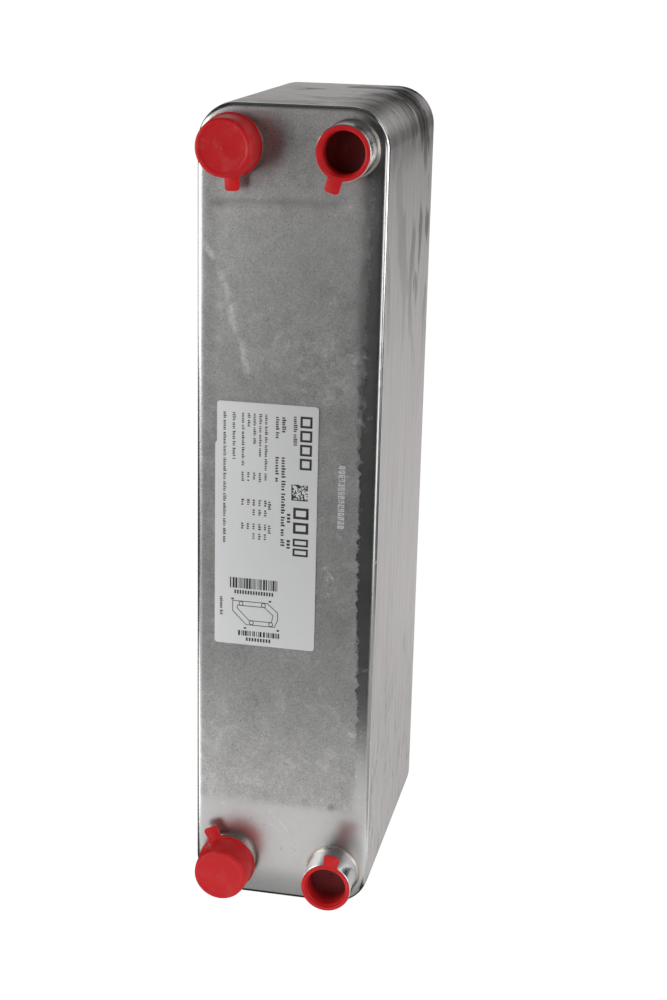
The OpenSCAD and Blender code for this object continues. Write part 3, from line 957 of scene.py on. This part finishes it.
def label_print():
    """Generic print: bars, blocks and a small line drawing, with no lettering."""
    bold = Artwork()
    for i in range(4):
        v0 = 6.6 + i * 9.1
        bold.frame(53.9, 61.6, v0, v0 + 7.4, 1.45)
    bold.matrix(48.8, 51.2, 10.6, 14)
    bold.frame(50.2, 60.2, 66.5, 74.0, 1.7)
    bold.frame(50.2, 60.2, 76.3, 83.8, 1.7)
    bold.frame(50.2, 60.2, 87.2, 92.4, 1.3)
    bold.frame(50.2, 60.2, 93.8, 99.0, 1.3)
    bold.row(46.2, 49.0, 71.0, 80.5, 2.3)
    bold.row(46.2, 49.0, 88.5, 98.5, 2.3)
    bold.bars(9.0, 41.4, 117.0, 124.2)
    bold.bars(14.7, 42.2, 153.2, 156.8)
    bold.digits(12.0, 38.5, 125.4, 128.0, 15)
    bold.digits(20.0, 37.0, 157.9, 160.3, 9)
    outer_loop = [(11, 133), (34, 133), (41, 139), (41, 144), (39, 149), (20, 149), (11, 140)]
    inner_loop = [(14, 138), (22, 146), (37, 146), (38, 141), (32, 136), (14, 136)]
    for loop in (outer_loop, inner_loop):
        for start, end in zip(loop, loop[1:] + loop[:1]):
            bold.line(start, end, 0.5)
    for u, v in ((16.5, 134.6), (31.5, 134.6), (23.5, 147.4), (36.5, 147.4)):
        bold.ring(u, v, 1.6, 0.5)
    for u, v in ((10, 131.2), (35, 131.0), (18.5, 150.8), (40.5, 150.6)):
        bold.block(u, u + 1.6, v, v + 1.2)
    bold.row(42.2, 44.8, 8.0, 18.5, 1.45)
    bold.row(42.2, 44.8, 34.0, 94.0, 1.75)
    bold.row(38.2, 40.4, 8.0, 22.0, 1.45)
    bold.row(38.2, 40.4, 34.0, 51.5, 1.75)
    small = Artwork()
    small.row(49.6, 52.0, 7.0, 26.5, 1.3)
    for v in (64.0, 80.0):
        small.row(33.8, 35.7, v, v + 6.5, 1.5)
    ends = (44, 35, 27, 17, 42)
    for i, end in enumerate(ends):
        u = 31.2 - 3.75 * i
        small.row(u, u + 1.75, 7.0, end, 1.15)
        small.row(u, u + 1.75, 45.5, 52.0, 1.3)
        for v in (63.5, 79.5):
            small.row(u, u + 1.75, v, v + 5.0, 1.5)
            if i < 3:
                small.row(u, u + 1.75, v + 6.5, v + 11.5, 1.5)
    small.row(10.2, 12.2, 7.0, 38.5, 1.15)
    small.row(4.2, 6.2, 7.0, 94.5, 1.15)
    small.row(2.4, 4.4, 131.0, 144.5, 1.2)
    piece("label_bold_print", bold.verts, bold.faces, INK, slot="label")
    piece("label_small_print", small.verts, small.faces, INK_GREY, slot="label")


def stamped_marks():
    """A column of small peened frames to the right of the label, with gaps between them."""
    left = 33.5
    top = 307.6
    dot_r = 0.42
    missing = 0.12
    verts, faces = [], []
    for k in range(15):
        for i in range(6):
            for j in range(3):
                on_frame = i in (0, 5) or j in (0, 2)
                if not on_frame or rng.random() < missing:
                    continue
                x = left + i * 0.7
                z = top - k * 2.8 - j * 0.6
                start = len(verts)
                for a in range(6):
                    turn = math.radians(60 * a)
                    verts.append((x + dot_r * math.cos(turn), FRONT_Y - 0.015, z + dot_r * math.sin(turn)))
                faces.append(tuple(range(start, start + 6)))
    piece("stamped_marks", verts, faces, DOTS, slot="cover_steel")


# ---------------------------------------------------------------- build
front_cover()
rear_cover()
piece("rim_braze_seams", *seams(), SEAM, slot="copper", crease=60)
piece("rear_braze_seam", *rear_seam(), SEAM, slot="copper", crease=60)
for port_name in LEFT_PORTS:
    threaded_port(port_name)
    braze_fillet(port_name, LEFT_FOOT_R, 0.5, 0.5)
for port_name in RIGHT_PORTS:
    socket_port(port_name)
    braze_fillet(port_name, RIGHT_FOOT_R, 0.9, 0.75)
cap("top_left", 272, 0.0)
cap("bottom_left", 116, 0.4)
plug("top_right", 254, 0.0, False, RED_CUP_DARK_SHADE)
plug("bottom_right", 80, 0.7, True, RED_CUP_BROWN_SHADE)
film("label_film", LABEL_LOW, LABEL_HIGH, ["type_label"])
film("under_label_film", UNDER_LOW, UNDER_HIGH, ["under_label"])
label_print()
stamped_marks()

for node_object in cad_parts.values():
    if not node_object.hide_render:
        node_object.data.materials.clear()
        node_object.data.materials.append(PLATE_STEEL)

# ---------------------------------------------------------------- camera
yaw, pitch, roll = (math.radians(a) for a in (-11.506, 17.290, 1.364))
forward = Vector((math.sin(yaw) * math.cos(pitch), math.cos(yaw) * math.cos(pitch), -math.sin(pitch)))
right = forward.cross(Vector((0, 0, 1))).normalized()
up = right.cross(forward)
turned_right = right * math.cos(roll) + up * math.sin(roll)
turned_up = up * math.cos(roll) - right * math.sin(roll)
camera_data = bpy.data.cameras.new("camera")
camera_data.lens = 64.89
camera_data.sensor_width = 36
camera_data.clip_start = 0.01
camera_data.clip_end = 100
camera = bpy.data.objects.new("camera", camera_data)
scene.collection.objects.link(camera)
axes = Matrix((turned_right, turned_up, -forward)).transposed().to_4x4()
camera.matrix_world = Matrix.Translation((0.24657, -1.13308, 0.62291)) @ axes
scene.camera = camera


# ---------------------------------------------------------------- stage and light
def white_stage():
    """A plain white floor and far walls, seen by the camera only. The world and the cards do the lighting."""
    room_r = 12
    room_height = 8
    floor_drop = 0.0006
    material = bpy.data.materials.new("white_floor")
    material.use_nodes = True
    tree = material.node_tree
    tree.nodes.clear()
    glow = tree.nodes.new("ShaderNodeEmission")
    glow.inputs["Color"].default_value = WHITE
    glow.inputs["Strength"].default_value = 1.02
    output = tree.nodes.new("ShaderNodeOutputMaterial")
    tree.links.new(glow.outputs[0], output.inputs[0])
    bm = bmesh.new()
    bmesh.ops.create_cone(bm, cap_ends=True, segments=64, radius1=room_r, radius2=room_r, depth=room_height)
    mesh = bpy.data.meshes.new("floor")
    bm.to_mesh(mesh)
    bm.free()
    mesh.materials.append(material)
    floor = bpy.data.objects.new("floor", mesh)
    floor.location.z = room_height / 2 - floor_drop
    scene.collection.objects.link(floor)
    for ray in ("diffuse", "glossy", "transmission", "volume_scatter", "shadow"):
        setattr(floor, "visible_" + ray, False)


def card(name, place, aim, width, height, radiance):
    """A soft light card at a place, facing a point, as bright as radiance; the camera doesn't see it."""
    data = bpy.data.lights.new(name, "AREA")
    data.shape = "RECTANGLE"
    data.size = width
    data.size_y = height
    data.energy = radiance * math.pi * width * height
    made = bpy.data.objects.new(name, data)
    made.location = place
    made.rotation_mode = "QUATERNION"
    made.rotation_quaternion = (Vector(aim) - Vector(place)).to_track_quat("-Z", "Y")
    made.visible_camera = False
    scene.collection.objects.link(made)


white_stage()
# name, place, aimed at, width, height, brightness
CARDS = [
    ("floor_near_left", (-0.32, -0.20, 0.001), (-0.32, -0.20, 1), 0.36, 0.20, 1.95),
    ("floor_near_middle", (0, -0.20, 0.001), (0, -0.20, 1), 0.28, 0.20, 0.85),
    ("floor_at_foot", (0, -0.0855, 0.001), (0, -0.0855, 1), 0.12, 0.028, 0.37),
    ("floor_front_right", (0.38, -0.27, 0.001), (0.38, -0.27, 1), 0.52, 0.46, 0.4),
    ("floor_beside_right", (0.335, 0.125, 0.001), (0.335, 0.125, 1), 0.53, 0.45, 0.6),
    ("floor_behind_right", (0.635, 0.775, 0.001), (0.635, 0.775, 1), 1.13, 0.85, 0.8),
    ("floor_far_behind", (1.2, 2.1, 0.001), (1.2, 2.1, 1), 2.4, 1.8, 0.95),
    ("left_close", (-0.6, -0.25, 0.5), (0, -0.25, 0.5), 0.5, 0.5, 2.2),
    ("front_left_close", (-0.475, -0.6, 0.35), (-0.475, 0, 0.35), 0.25, 0.3, 1.4),
    ("front_right_close", (0.45, -0.6, 0.35), (0.45, 0, 0.35), 0.3, 0.3, 1.6),
    ("front_right_low", (0.45, -0.6, 0.1), (0.45, 0, 0.1), 0.3, 0.2, 1.7),
    ("front_overhead", (0, -1.8, 1.7), (0, 0, 0.4), 2.0, 1.0, 0.13),
    ("overhead", (0, 0, 2.5), (0, 0, 0), 2.0, 2.0, 0.07),
    ("front_left_wall", (-1.67, -1.59, 0.5), (0, 0, 0.45), 1.75, 1.6, 1.85),
    ("right_wall", (2.22, -0.60, 0.5), (0, 0, 0.45), 1.15, 1.0, 4.0),
    ("right_overhead", (1.89, -0.51, 1.6), (0, 0, 0.3), 1.05, 1.2, 1.5),
    ("rear_right_overhead", (1.38, 1.38, 1.6), (0, 0, 0.3), 1.05, 1.2, 1.5),
    ("rear_overhead", (-0.51, 1.89, 1.6), (0, 0, 0.3), 1.05, 1.2, 0.95),
]
for row in CARDS:
    card(*row)

world = bpy.data.worlds.new("faint_fill")
scene.world = world
world.use_nodes = True
background = world.node_tree.nodes["Background"]
background.inputs["Color"].default_value = WHITE
background.inputs["Strength"].default_value = 0.02
scene.view_settings.view_transform = "Standard"
scene.view_settings.look = "None"
scene.cycles.use_denoising = True
